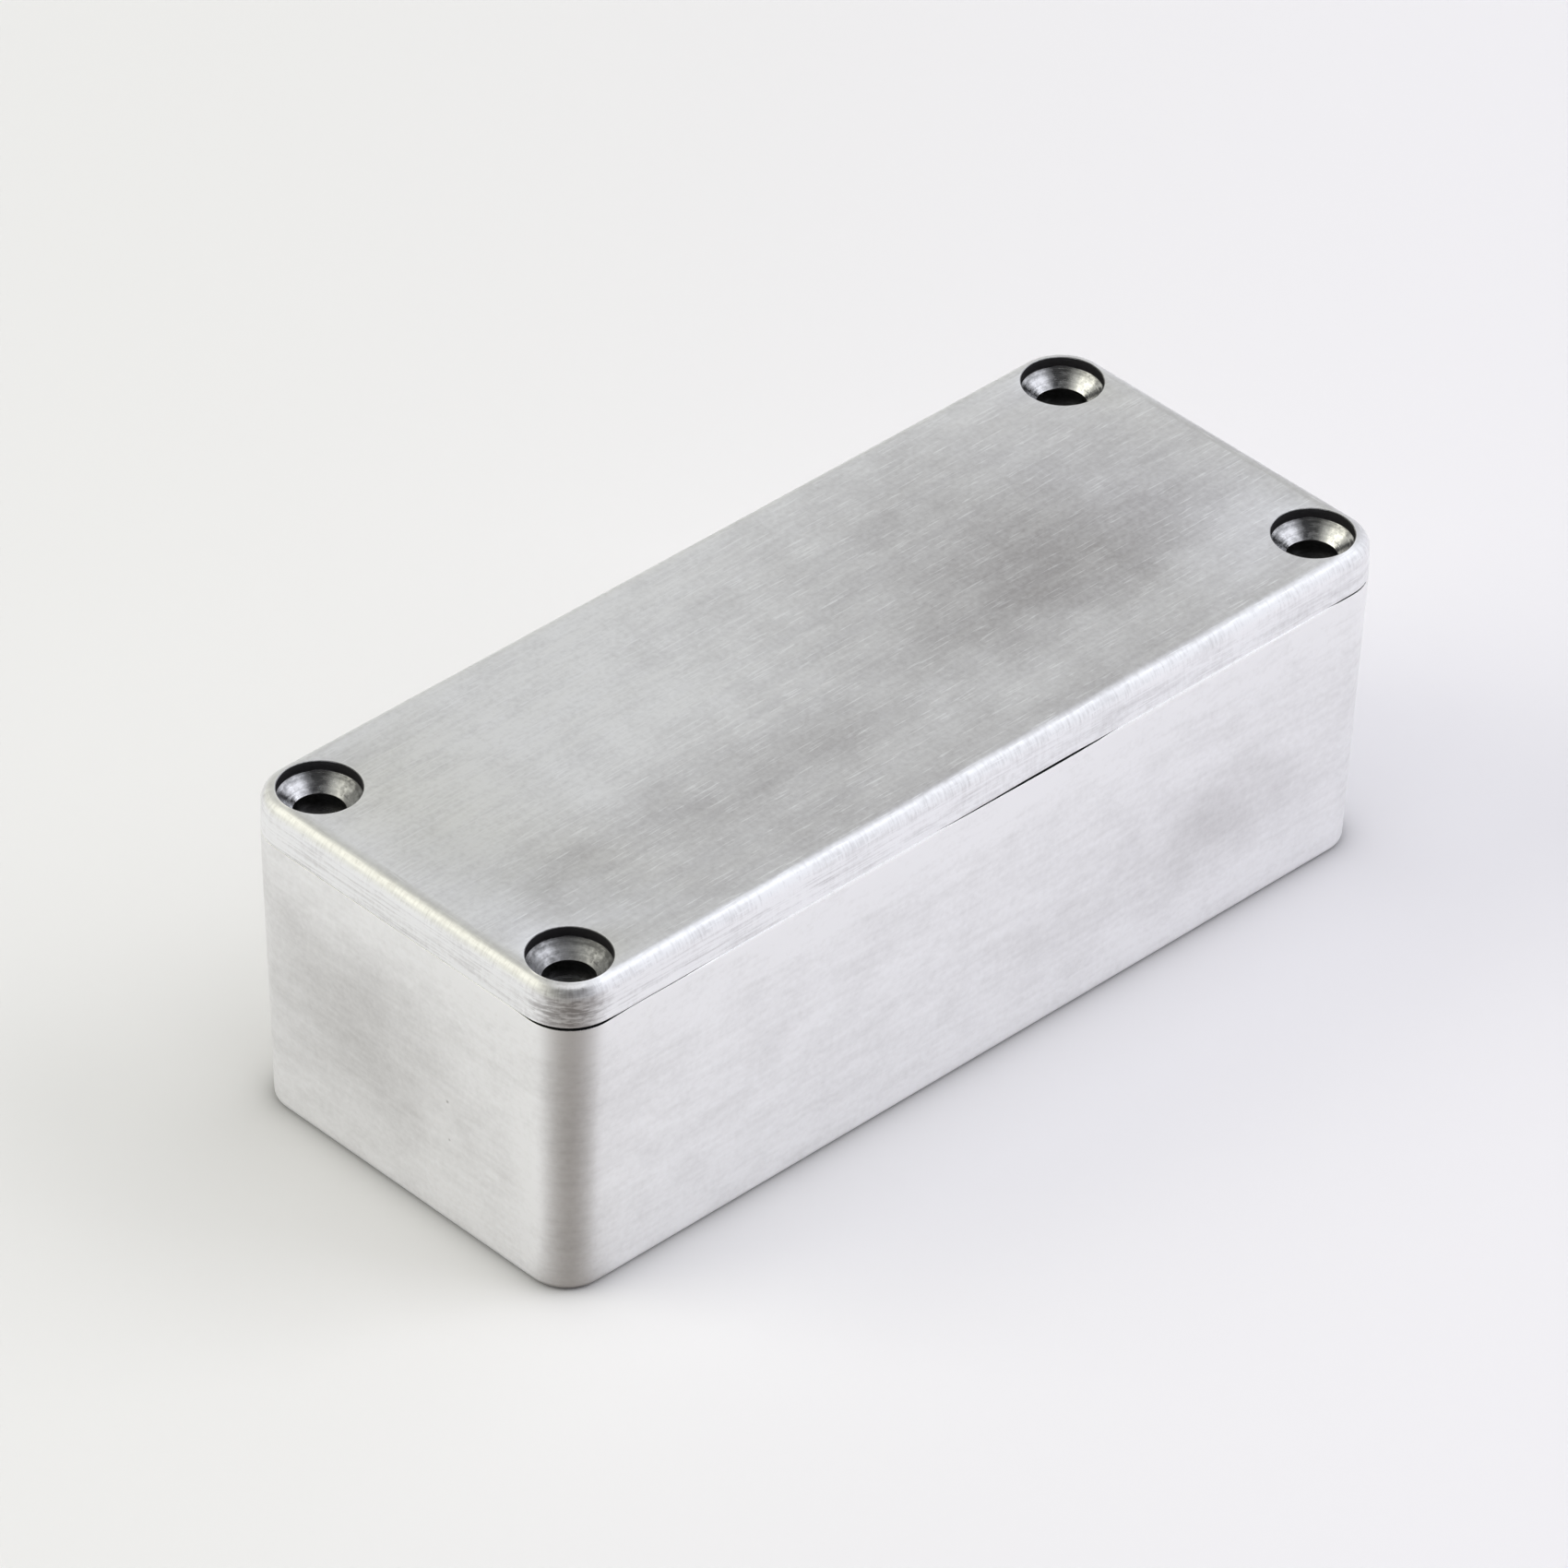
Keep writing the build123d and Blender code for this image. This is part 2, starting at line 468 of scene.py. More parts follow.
# %% Make the base
floor_thickness = 2.0 * mm
floor_bevel = 1.0 * mm
cavity_draft = math.radians(1.5)
floor_z = base_low.z + floor_thickness
hollow_run = joint_z - floor_z - floor_bevel
hollow_drops = np.array([0, support, hollow_run - support, hollow_run])
hollow_insets = hollow_drops * math.tan(cavity_draft)
foot_inset = (joint_z - floor_z) * math.tan(cavity_draft) + floor_bevel
hollow_wall = carried(
    hollow,
    hollow_normals,
    np.append(hollow_insets, foot_inset),
    np.append(joint_z - hollow_drops, floor_z),
)
tapped = [tapped_bore(place) for place in hole_places]
rim_loops = [base_wall[0], hollow_wall[0], *(hole[0] for hole in tapped)]
base = make_piece(
    "base_casting",
    "base",
    [
        grid_patch(base_wall[: step_end + 1], PAINTED_SHADE),
        grid_patch(base_wall[step_end : rubbed_end + 1], RUBBED),
        grid_patch(base_wall[rubbed_end:]),
        flat_patch([base_wall[-1]], base_low.z),
        grid_patch(hollow_wall),
        flat_patch([hollow_wall[-1]], floor_z),
        flat_patch(rim_loops, joint_z, MACHINED),
        *[grid_patch(hole, PAINTED_SHADE) for hole in tapped],
        *[flat_patch([hole[-1]], hole[-1, 0, 2], PAINTED_SHADE) for hole in tapped],
    ],
)

# %% [markdown]
# ## The lid
# Each screw hole starts as a round recess a millimetre deep, goes on as a 90 degree countersink
# and ends as a plain hole. A hair of a bevel breaks its top edge. The holes are so near to the
# corners that their rims just reach the lid's round edge. Cutting them out afterwards would
# leave slivers there, so the last rows of the lid's wall are led round them.

# %% The lid's screw holes
head_recess_radius = 3.5 * mm
head_recess_depth = 1.0 * mm
clearance_radius = lid_holes["hole_r_mm"] * mm
broken_edge = 0.07 * mm
edge_gap = 0.02 * mm  # from a hole's rim to the lid's last row
hairsbreadth = 0.012 * mm
cone_drop = head_recess_radius - clearance_radius
outer_radius = head_recess_radius + broken_edge
bore_section = [  # radius and depth below the lid's top
    (outer_radius, 0),
    (head_recess_radius + 0.3 * broken_edge, 0.3 * broken_edge),
    (head_recess_radius, broken_edge),
    (head_recess_radius, head_recess_depth),
    (clearance_radius, head_recess_depth + cone_drop),
    (clearance_radius, top_z - joint_z),
]
bore_radii, bore_drops = np.array(bore_section).T
screw_holes = [bore(place, bore_radii, top_z - bore_drops) for place in hole_places]


def clear_of_holes(grid, keep):
    """A grid whose last rows go round the screw holes that they would run into.

    A point nearer to a hole's axis than its row's limit goes straight out to that limit, which
    is `keep` for the last row and a hair's breadth more for each row before it.
    """
    limit = keep + hairsbreadth * np.arange(len(grid))[::-1, None]
    moved = grid.copy()
    for place in hole_places:
        offset = moved[..., :2] - place
        distance = np.linalg.norm(offset, axis=2)
        moved[..., :2] += offset * np.maximum(limit / distance - 1, 0)[..., None]
    return moved


lid_wall = clear_of_holes(lid_wall, outer_radius + edge_gap)
print("screw holes:", len(screw_holes))

# %% [markdown]
# Below the plate, the tongue runs along the base's walls and round its posts, with a recess
# inside it that makes the plate thinner. A rectangle would be simpler, but it would run into
# the posts, so both follow the hollow's own outline, further in.

# %% Make the lid
tongue_clearance = 0.25 * mm
tongue_chamfer = 0.3 * mm
recess_inset = 1.75 * mm  # the tongue's clearance and its thickness
recess_web_radius = 0.9 * mm
recess_draft = math.radians(3.0)
plate_thickness = 2.0 * mm
ceiling_z = top_z - plate_thickness
tongue = carried(
    *hollow_outline(tongue_clearance, web_radius),
    [0, 0, tongue_chamfer],
    [joint_z, tongue_foot_z + tongue_chamfer, tongue_foot_z],
)
recess = carried(
    *hollow_outline(recess_inset, recess_web_radius),
    [(tongue_foot_z - ceiling_z) * math.tan(recess_draft), 0],
    [tongue_foot_z, ceiling_z],
)
top_loops = [lid_wall[-1], *(hole[0] for hole in screw_holes)]
shoulder_loops = [lid_wall[0], tongue[0], *(hole[-1] for hole in screw_holes)]
lid = make_piece(
    "lid_casting",
    "lid",
    [
        grid_patch(lid_wall[: step_end + 1], PAINTED_SHADE),
        grid_patch(lid_wall[step_end:]),
        flat_patch(top_loops, top_z),
        *[grid_patch(hole[:3], MACHINED) for hole in screw_holes],
        *[grid_patch(hole[2:4], RECESSED) for hole in screw_holes],
        *[grid_patch(hole[3:5], MACHINED) for hole in screw_holes],
        *[grid_patch(hole[4:], PAINTED_SHADE) for hole in screw_holes],
        flat_patch(shoulder_loops, joint_z),
        grid_patch(np.concatenate([tongue, recess])),
        flat_patch([recess[-1]], ceiling_z),
    ],
)

# %% [markdown]
# ## A shorthand for shader nodes
# A material is a small graph. Writing each node and each link on its own line hides what the
# graph does, so these helpers add a node with its inputs, do one sum, or mix two colours.

# %% Helpers for materials
def add(tree, kind, inputs=None, **settings):
    """Adds a node. Each input is a plain value, or the output socket that feeds it."""
    node = tree.nodes.new(kind)
    for name, value in settings.items():
        setattr(node, name, value)
    for name, value in (inputs or {}).items():
        if isinstance(value, bpy.types.NodeSocket):
            tree.links.new(value, node.inputs[name])
        else:
            node.inputs[name].default_value = value
    return node


def calc(tree, operation, *terms):
    """One sum: a Math node over plain numbers and sockets."""
    return add(tree, "ShaderNodeMath", dict(enumerate(terms)), operation=operation).outputs[0]


def vector_calc(tree, operation, *terms):
    """One sum on vectors: a Vector Math node over plain vectors and sockets."""
    node = add(tree, "ShaderNodeVectorMath", dict(enumerate(terms)), operation=operation)
    gives_a_number = operation in ("DOT_PRODUCT", "LENGTH")
    return node.outputs["Value" if gives_a_number else "Vector"]


def ramp(tree, value, low, high, to_low=0.0, to_high=1.0, kind="SMOOTHSTEP"):
    """Maps a value from low..high to another span, with soft ends."""
    inputs = {0: value, 1: low, 2: high, 3: to_low, 4: to_high}
    return add(tree, "ShaderNodeMapRange", inputs, interpolation_type=kind).outputs[0]


def mixed_colour(tree, share, first, second):
    """Mixes two colours: the first where the share is 0, the second where it is 1."""
    inputs = {0: share, 6: (*first, 1), 7: (*second, 1)}
    return add(tree, "ShaderNodeMix", inputs, data_type="RGBA").outputs[2]


def new_material(name):
    """An empty node material, and its tree."""
    material = bpy.data.materials.new(name)
    material.use_nodes = True
    material.node_tree.nodes.clear()
    return material, material.node_tree


print("helpers ready")

# %% [markdown]
# ## Rubbed marks
# The box was rubbed with an abrasive, mostly along its length. What that leaves is noise that
# is stretched along the marks: fine scratches a few millimetres long and a tenth wide, and
# broader soft bands. Thousands of real grooves would do it too, at a great cost in faces. The
# noise reads each piece's own map of its marks, so it bends with them.

# %% Helpers for marks and clouds
ragged_size = 9 * mm  # of the noise that makes a stain's outline ragged


def scratches(tree, long, wide, detail=3.0, seed=0.0):
    """Noise on the map of marks, stretched to features of that length and width, from 0 to 1."""
    marks = add(tree, "ShaderNodeUVMap", uv_map="marks").outputs[0]
    place = {"Vector": marks, "Location": (seed, seed * 0.7, 0), "Scale": (1 / long, 1 / wide, 1)}
    placed = add(tree, "ShaderNodeMapping", place).outputs[0]
    settings = {"Vector": placed, "Scale": 1.0, "Detail": detail, "Roughness": 0.6}
    return add(tree, "ShaderNodeTexNoise", settings, noise_dimensions="2D").outputs[0]


def cloud_noise(tree, size, detail=3.0, seed=0.0):
    """Soft noise in the object's own coordinates, with features of about one size."""
    here = add(tree, "ShaderNodeTexCoord").outputs["Object"]
    place = {"Vector": here, "Location": (seed, seed, seed), "Scale": (1 / size,) * 3}
    placed = add(tree, "ShaderNodeMapping", place).outputs[0]
    settings = {"Vector": placed, "Scale": 1.0, "Detail": detail, "Roughness": 0.55}
    return add(tree, "ShaderNodeTexNoise", settings).outputs[0]


def spots(tree, places, ragged):
    """The sum of soft round stains, each with a centre, half sizes and a strength.

    A stain is 1 at its centre and falls smoothly to 0 at its half sizes. Noise moves the
    points about by the ragged distance first, so that no stain has an even outline.
    """
    here = add(tree, "ShaderNodeTexCoord").outputs["Object"]
    noise = {"Vector": here, "Scale": 1 / ragged_size, "Detail": 2.0}
    noise = add(tree, "ShaderNodeTexNoise", noise).outputs["Color"]
    shift = vector_calc(tree, "SUBTRACT", noise, (0.5, 0.5, 0.5))
    moved = vector_calc(tree, "MULTIPLY_ADD", shift, (ragged,) * 3, here)
    total = 0.0
    for centre, half, strength in places:
        offset = vector_calc(tree, "SUBTRACT", moved, Vector(centre) * mm)
        share = vector_calc(tree, "DIVIDE", offset, Vector(half) * mm)
        away = vector_calc(tree, "LENGTH", share)
        total = calc(tree, "ADD", total, ramp(tree, away, 0.0, 1.0, strength, 0.0))
    return total


def object_axis(tree, axis):
    """One coordinate of the object's own space: X, Y or Z."""
    here = add(tree, "ShaderNodeTexCoord").outputs["Object"]
    return add(tree, "ShaderNodeSeparateXYZ", {0: here}).outputs[axis]


def plus_noise(tree, tone, *noises):
    """Adds noises, each given with its strength, to a tone. Each is taken about its mean of a half."""
    for noise, strength in noises:
        centred = calc(tree, "SUBTRACT", noise, 0.5)
        tone = calc(tree, "ADD", tone, calc(tree, "MULTIPLY", centred, strength))
    return calc(tree, "MAXIMUM", calc(tree, "MINIMUM", tone, 1.0), 0.0)


def aluminium(tree, tone, roughness, height, bright, dull, lift, grain):
    """The shader of bare aluminium.

    The tone, from 0 to 1, mixes the dull colour with the bright one. Height and lift make the
    bump. Grain is how much wider the gloss spreads across the marks than along them.
    """
    bump = add(tree, "ShaderNodeBump", {"Strength": 1.0, "Distance": lift, "Height": height})
    along = add(tree, "ShaderNodeTangent", direction_type="UV_MAP", uv_map="marks")
    shader = add(
        tree,
        "ShaderNodeBsdfPrincipled",
        {
            "Base Color": mixed_colour(tree, tone, dull, bright),
            "Metallic": 1.0,
            "Roughness": roughness,
            "Normal": bump.outputs[0],
            "Tangent": along.outputs[0],
            "Anisotropic": grain,
            "Anisotropic Rotation": 0.25,
        },
    )
    add(tree, "ShaderNodeOutputMaterial", {"Surface": shader.outputs[0]})


print("marks and clouds ready")

# %% [markdown]
# ## The lid's finish
# The lid is linished: rubbed along its length until it is bright. Grey clouds on its top are
# partly the metal's own uneven tone and partly painted shade, for what a slightly uneven top
# would reflect, with a broad darker band along the near edge. Its side was rubbed along the edge,
# more coarsely towards the near corner. The corner is blotchy, and painted dark as well: a
# painted dark reflection of what lies in front of the box. Its round edge was rubbed across.
#
# A picture of brushed metal would repeat, and it wouldn't have these clouds. So one number, the
# tone, is added up from noises and stains at each point, and mixes a dull and a bright metal.

# %% The lid's material
lid_tone, side_darker = 0.88, 0.06
dash_strength, line_strength, hatch_strength = 0.34, 1.7, 0.9
lid_bright, lid_dull = (0.98, 0.985, 1.0), (0.50, 0.485, 0.49)
# Grey clouds on the top, partly the metal's own tone and partly painted shade. The last one is a
# painted darker band along the near edge.
lid_clouds = [  # centre, half sizes and strength, in millimetres
    ((24, 0, 31), (42, 26, 12), 0.62),
    ((20, -4, 31), (24, 9, 12), 0.22),
    ((14, -6, 31), (12, 4, 12), 0.12),
    ((34, -5, 31), (9, 5, 12), 0.12),
    ((-18, -9, 31), (33, 12, 12), 0.48),
    ((-7, -9, 31), (7, 4, 12), 0.12),
    ((-33, -6, 31), (8, 5, 12), 0.18),
    ((0, -19, 31), (70, 8, 12), 0.40),
]
# Painted dark reflection on the lid's near corner, with blotches.
corner_dark_reflection = [((-45.0, -17.8, 28.8), (5.0, 5.0, 3.4), 1.0)]


def linished_lid():
    """Streaks, short bright dashes and grey clouds on bare aluminium."""
    material, tree = new_material("linished_aluminium")
    x, z = object_axis(tree, "X"), object_axis(tree, "Z")
    on_side = ramp(tree, z, top_z - 1.4 * mm, top_z - 0.8 * mm, 1.0, 0.0)
    on_top = ramp(tree, z, top_z - 0.25 * mm, top_z - 0.03 * mm)

    # Marks everywhere
    streaks = scratches(tree, 6 * mm, 0.5 * mm, detail=4.0, seed=3.0)
    broad = scratches(tree, 18 * mm, 1.6 * mm, detail=3.0, seed=7.0)
    dashes = scratches(tree, 3.5 * mm, 0.20 * mm, detail=1.0, seed=12.0)
    dashes = ramp(tree, dashes, 0.62, 0.78)
    grain = cloud_noise(tree, 0.5 * mm, detail=2.0, seed=2.0)
    mottle = cloud_noise(tree, 4 * mm, detail=4.0, seed=4.0)

    # Lines along the side, coarser towards the near end
    coarse = ramp(tree, x, -30 * mm, 15 * mm, 1.0, 0.4)
    lines = scratches(tree, 9 * mm, 0.28 * mm, detail=4.0, seed=15.0)
    lines = calc(tree, "MULTIPLY", calc(tree, "SUBTRACT", lines, 0.44), on_side)
    lines = calc(tree, "MULTIPLY", lines, coarse)

    # Short marks across the round edge, and a little down the side
    hatch = scratches(tree, 0.24 * mm, 2.2 * mm, detail=3.0, seed=21.0)
    rubbed_across = calc(tree, "SUBTRACT", 1.0, on_top)
    rubbed_across = calc(tree, "MULTIPLY_ADD", on_side, -0.75, rubbed_across)
    hatch = calc(tree, "MULTIPLY", calc(tree, "SUBTRACT", hatch, 0.5), rubbed_across)

    # Clouds on the top, partly painted shade, and the corner's painted dark reflection
    clouds = calc(tree, "MULTIPLY", spots(tree, lid_clouds, 7 * mm), on_top)
    blotches = scratches(tree, 1.3 * mm, 0.35 * mm, detail=5.0, seed=6.0)
    blotches = ramp(tree, blotches, 0.33, 0.66, 0.1, 1.25)
    corner = calc(tree, "MULTIPLY", spots(tree, corner_dark_reflection, 1.5 * mm), blotches)

    tone = calc(tree, "SUBTRACT", lid_tone, calc(tree, "ADD", clouds, corner))
    tone = calc(tree, "MULTIPLY_ADD", on_side, -side_darker, tone)
    tone = calc(tree, "MULTIPLY_ADD", dashes, dash_strength, tone)
    tone = calc(tree, "MULTIPLY_ADD", lines, line_strength, tone)
    tone = calc(tree, "MULTIPLY_ADD", hatch, hatch_strength, tone)
    tone = plus_noise(tree, tone, (streaks, 0.27), (broad, 0.35), (grain, 0.52), (mottle, 0.5))
    roughness = ramp(tree, broad, 0.3, 0.7, 0.40, 0.32)
    height = calc(tree, "MULTIPLY_ADD", hatch, 1.1, streaks)
    height = calc(tree, "MULTIPLY_ADD", grain, 1.0, height)
    aluminium(tree, tone, roughness, height, lid_bright, lid_dull, lift=0.012 * mm, grain=0.5)
    return material


lid.data.materials.append(linished_lid())
print("lid:", [slot.name for slot in lid.material_slots])

# %% [markdown]
# ## The base's finish
# The base is a little brighter and more even, with fainter marks, and brighter towards its rim
# and its foot. Its near end has a broad dull cloud, partly its own tone and partly painted shade
# for the shadowed sheet that it reflects, and two pinholes that the casting left. It is built up
# as the lid's finish is, from noises and stains. The pinholes are stains too, because holes less
# than half a millimetre wide show as dark dots.

# %% The base's material
base_bright, base_dull = (0.98, 0.98, 0.985), (0.555, 0.545, 0.54)
# On the near end the clouds are partly the casting's own tone and partly painted shade, for the
# shadowed sheet that the end reflects.
base_clouds = [  # centre, half sizes and strength, in millimetres
    ((27, -19, 11), (16, 5, 8), 0.34),
    ((6, -19, 9), (14, 5, 6), 0.12),
    ((-46, 2.5, 15), (5, 13, 12), 0.24),
    ((-46, 11, 15), (5, 22.5, 21), 0.27),
    ((-45.5, 17, 24), (6, 7.5, 7.5), 0.24),
    ((-45, -14.8, 10), (4, 4, 15), -0.14),
]
pinholes = [
    ((-45.8, -5.05, 12.8), (0.22, 0.22, 0.22), 1.0),
    ((-45.7, -5.15, 8.9), (0.2, 0.2, 0.2), 0.8),
]


def satin_base():
    """Faint scratches, and soft clouds on the sides that show."""
    material, tree = new_material("satin_aluminium")
    streaks = scratches(tree, 5 * mm, 0.6 * mm, detail=5.0, seed=5.0)
    broad = scratches(tree, 14 * mm, 1.6 * mm, detail=3.0, seed=9.0)
    grain = cloud_noise(tree, 0.5 * mm, detail=2.0, seed=3.0)
    mottle = cloud_noise(tree, 4 * mm, detail=5.0, seed=5.0)
    # Clouds, some of them painted shade, and the pinholes.
    stains_and_shade = calc(tree, "ADD", spots(tree, base_clouds, 5 * mm), spots(tree, pinholes, 0.0))
    z = object_axis(tree, "Z")
    at_rim = ramp(tree, z, joint_z - 7 * mm, joint_z - 1 * mm, 0.86, 1.02)
    at_foot = ramp(tree, z, 0.0, 8 * mm, 0.07, 0.0)
    tone = calc(tree, "SUBTRACT", calc(tree, "ADD", at_rim, at_foot), stains_and_shade)
    tone = plus_noise(tree, tone, (streaks, 0.29), (broad, 0.2), (grain, 0.36), (mottle, 0.45))
    height = calc(tree, "MULTIPLY_ADD", grain, 0.8, streaks)
    roughness = ramp(tree, broad, 0.3, 0.7, 0.42, 0.36)
    aluminium(tree, tone, roughness, height, base_bright, base_dull, lift=0.006 * mm, grain=0.3)
    return material


base.data.materials.append(satin_base())
print("base:", [slot.name for slot in base.material_slots])

# %% [markdown]
# ## The cut surfaces
# A cutter leaves brighter metal than the abrasive, with rings round the axis. Deep in the holes
# and in the joint little light comes back out, and that shade is painted: the metal there is
# given a dark colour. The countersinks and their recesses are painted darker towards their top,
# as shade too. The near hole's cone is dull and mottled all round, and the one on the left is on
# one flank.
#
# The rings could be turned into the mesh, but they are finer than a pixel. The bore's map runs
# round its axis, so noise stretched along it draws them, and the same function makes all four.

# %% Materials of the holes and of the joint
dull_cones = [  # centre, half sizes and strength, in millimetres
    ((-40.8, -15.5, 29.3), (7.2, 7.2, 6.0), 0.62),
    ((-39.2, 13.8, 29.3), (3.2, 3.2, 4.0), 0.5),
]


def turned_metal(
    name, bright, dull, smooth, rough, tone, shade=0.0, deep=2 * mm, shallow=1 * mm, stains=()
):
    """Metal with fine rings round the axis, and mottling where the cutter chattered.

    From deep up to shallow, two depths below the lid's face, its tone falls by the shade: painted
    shade, darker towards the top of the hole.
    Stains lower the tone too, and roughen the metal.
    """
    material, tree = new_material(name)
    rings = scratches(tree, 9 * mm, 0.2 * mm, detail=3.0, seed=1.0)
    chatter = scratches(tree, 0.9 * mm, 0.5 * mm, detail=4.0, seed=4.0)
    dark = ramp(tree, object_axis(tree, "Z"), top_z - deep, top_z - shallow, 0.0, shade)
    worn = spots(tree, stains, 1 * mm) if stains else 0.0
    tone = calc(tree, "SUBTRACT", tone, calc(tree, "ADD", dark, worn))
    tone = plus_noise(tree, tone, (rings, 0.5), (chatter, 1.2))
    roughness = ramp(tree, chatter, 0.35, 0.65, rough, smooth)
    roughness = calc(tree, "MULTIPLY_ADD", worn, 0.6, roughness)
    height = calc(tree, "ADD", rings, chatter)
    aluminium(tree, tone, roughness, height, bright, dull, lift=0.012 * mm, grain=0.3)
    return material


# The cones and their rims are painted darker towards the top, as shade.
countersunk = turned_metal(
    "turned_aluminium",
    bright=(0.95, 0.955, 0.98),
    dull=(0.22, 0.22, 0.225),
    smooth=0.13,
    rough=0.27,
    tone=0.86,
    shade=0.55,
    deep=1.7 * mm,
    shallow=0.95 * mm,
    stains=dull_cones,
)
# Painted shade: the dark colour deep in the holes and inside the joint's step.
shaded = turned_metal(
    "painted_shade_aluminium",
    bright=(0.14, 0.14, 0.14),
    dull=(0.05, 0.05, 0.05),
    smooth=0.35,
    rough=0.5,
    tone=0.45,
)
# The recess walls are painted dark towards their top, as shade.
recess_wall = turned_metal(
    "recess_aluminium",
    bright=(0.80, 0.79, 0.83),
    dull=(0.06, 0.058, 0.062),
    smooth=0.5,
    rough=0.65,
    tone=0.4,
    shade=0.7,
    deep=1.1 * mm,
    shallow=0.75 * mm,
)
rubbed_rim = turned_metal(
    "rubbed_aluminium",
    bright=(0.99, 0.99, 0.99),
    dull=(0.70, 0.70, 0.70),
    smooth=0.12,
    rough=0.2,
    tone=1.0,
)
for piece, last in ((lid, recess_wall), (base, rubbed_rim)):
    for material in (countersunk, shaded, last):
        piece.data.materials.append(material)
print("cut surfaces:", countersunk.name, shaded.name, recess_wall.name, rubbed_rim.name)

# %% [markdown]
# ## The floor
# The box stands on a pale sheet, neutral at the left and a little cooler at the right, that
# takes its soft shadow. Bare metal shows what is around it, and in the photo the near corner
# shows something dark in front of the box, out of the picture. A dark card could stand there,
# but the camera and the sheet would see it. So the sheet itself is darker there, for gloss alone.
#
# At the box's foot a thin dark line is all that is left of the contact shadow in the photo. Soft
# lamps make that shadow too wide, so the sheet's own colour is shaded along the foot. Seen by
# the camera, the sheet also glows a little, which makes its shadows as faint as in the photo.

# %% The sheet's material
front = Vector((-0.7012, -0.7129, 0))  # level, from the box towards the camera
rightwards = Vector((-front.y, front.x, 0))  # level, to the right as the camera sees it
dark_way = Vector((-0.590, -0.807, 0))  # the same as front, turned eight degrees to the right
near_corner = Vector((-length / 2 + corner_radius, -width / 2 + corner_radius, 0))
paper_left, paper_right = (0.828, 0.826, 0.826), (0.855, 0.845, 0.89)
front_colour, front_darkness = (0.10, 0.075, 0.05), 0.71
contact_shade, contact_reach, gloss_reach = 0.41, 1.0 * mm, 0.4 * mm
glow_for_camera, glow_for_gloss = 0.10, 0.25


def mixed(tree, share, first, second):
    """Mixes two shaders: the first where the share is 0, the second where it is 1."""
    return add(tree, "ShaderNodeMixShader", {0: share, 1: first, 2: second}).outputs[0]


def near_the_foot(tree, here, reach):
    """1 at the box's foot, falling with the distance from it as exp(-distance / reach).

    The distance is taken from the outline of the foot, a rectangle with round corners.
    """
    lean = math.tan(base_draft) * joint_z
    middles = (length / 2 - corner_radius, width / 2 - corner_radius, 0)
    past = vector_calc(tree, "SUBTRACT", vector_calc(tree, "ABSOLUTE", here), middles)
    past = vector_calc(tree, "MAXIMUM", past, (0, 0, 0))
    away = calc(tree, "SUBTRACT", vector_calc(tree, "LENGTH", past), corner_radius - lean)
    away = calc(tree, "MAXIMUM", away, 0.0)
    return calc(tree, "EXPONENT", calc(tree, "DIVIDE", calc(tree, "MULTIPLY", away, -1.0), reach))


def paper_colour(tree, here, glossy):
    """The sheet's colour: cooler to the right, and shaded along the foot of the box."""
    to_right = vector_calc(tree, "DOT_PRODUCT", here, rightwards)
    colour = mixed_colour(tree, ramp(tree, to_right, -0.07, 0.07), paper_left, paper_right)
    reach = ramp(tree, glossy, 0.0, 1.0, contact_reach, gloss_reach, "LINEAR")
    shade = calc(tree, "MULTIPLY", near_the_foot(tree, here, reach), -contact_shade)
    shaded_colour = {0: colour, "Scale": calc(tree, "ADD", 1.0, shade)}
    return add(tree, "ShaderNodeVectorMath", shaded_colour, operation="SCALE").outputs[0]


def dark_ahead(tree, here):
    """How dark the sheet is for gloss: it grows with the cosine of the angle to the dark way."""
    away = vector_calc(tree, "NORMALIZE", vector_calc(tree, "SUBTRACT", here, near_corner))
    ahead = vector_calc(tree, "DOT_PRODUCT", away, dark_way)
    return ramp(tree, ahead, 0.3, 1.0, 0.0, front_darkness, "LINEAR")


def pale_paper():
    """Paper that glows a little for the camera and for gloss, and is dark ahead for gloss."""
    material, tree = new_material("pale_paper")
    here = add(tree, "ShaderNodeNewGeometry").outputs["Position"]
    ray = add(tree, "ShaderNodeLightPath").outputs
    colour = paper_colour(tree, here, ray["Is Glossy Ray"])
    paper = add(tree, "ShaderNodeBsdfDiffuse", {"Color": colour}).outputs[0]
    glow = add(tree, "ShaderNodeEmission", {"Color": colour, "Strength": 1.0}).outputs[0]
    black = add(tree, "ShaderNodeBsdfDiffuse", {"Color": (*front_colour, 1)}).outputs[0]
    share = calc(tree, "MULTIPLY", ray["Is Camera Ray"], glow_for_camera)
    share = calc(tree, "MULTIPLY_ADD", ray["Is Glossy Ray"], glow_for_gloss, share)
    dark = calc(tree, "MULTIPLY", dark_ahead(tree, here), ray["Is Glossy Ray"])
    surface = mixed(tree, dark, mixed(tree, share, paper, glow), black)
    add(tree, "ShaderNodeOutputMaterial", {"Surface": surface})
    return material


paper = pale_paper()
print("sheet's material:", paper.name)

# %% [markdown]
# The sheet could be one plain square. But it lies in the plane of the box's flat underside, and
# two faces in one plane flicker. So it has a hole with the underside's own outline, and seen
# from below, the box's underside shows there.

# %% Lay the sheet
sheet_half = 2.0  # metres, far past the picture's edges
square = np.array([(-1, -1), (1, -1), (1, 1), (-1, 1)]) * sheet_half
points, faces, *_ = flat_patch([square, base_wall[-1, :, :2]], 0.0)
sheet = bpy.data.meshes.new("floor")
sheet.from_pydata(points.tolist(), [], faces)
sheet.materials.append(paper)
floor = bpy.data.objects.new("floor", sheet)
bpy.context.scene.collection.objects.link(floor)
floor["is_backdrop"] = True
print("floor's faces:", len(sheet.polygons))

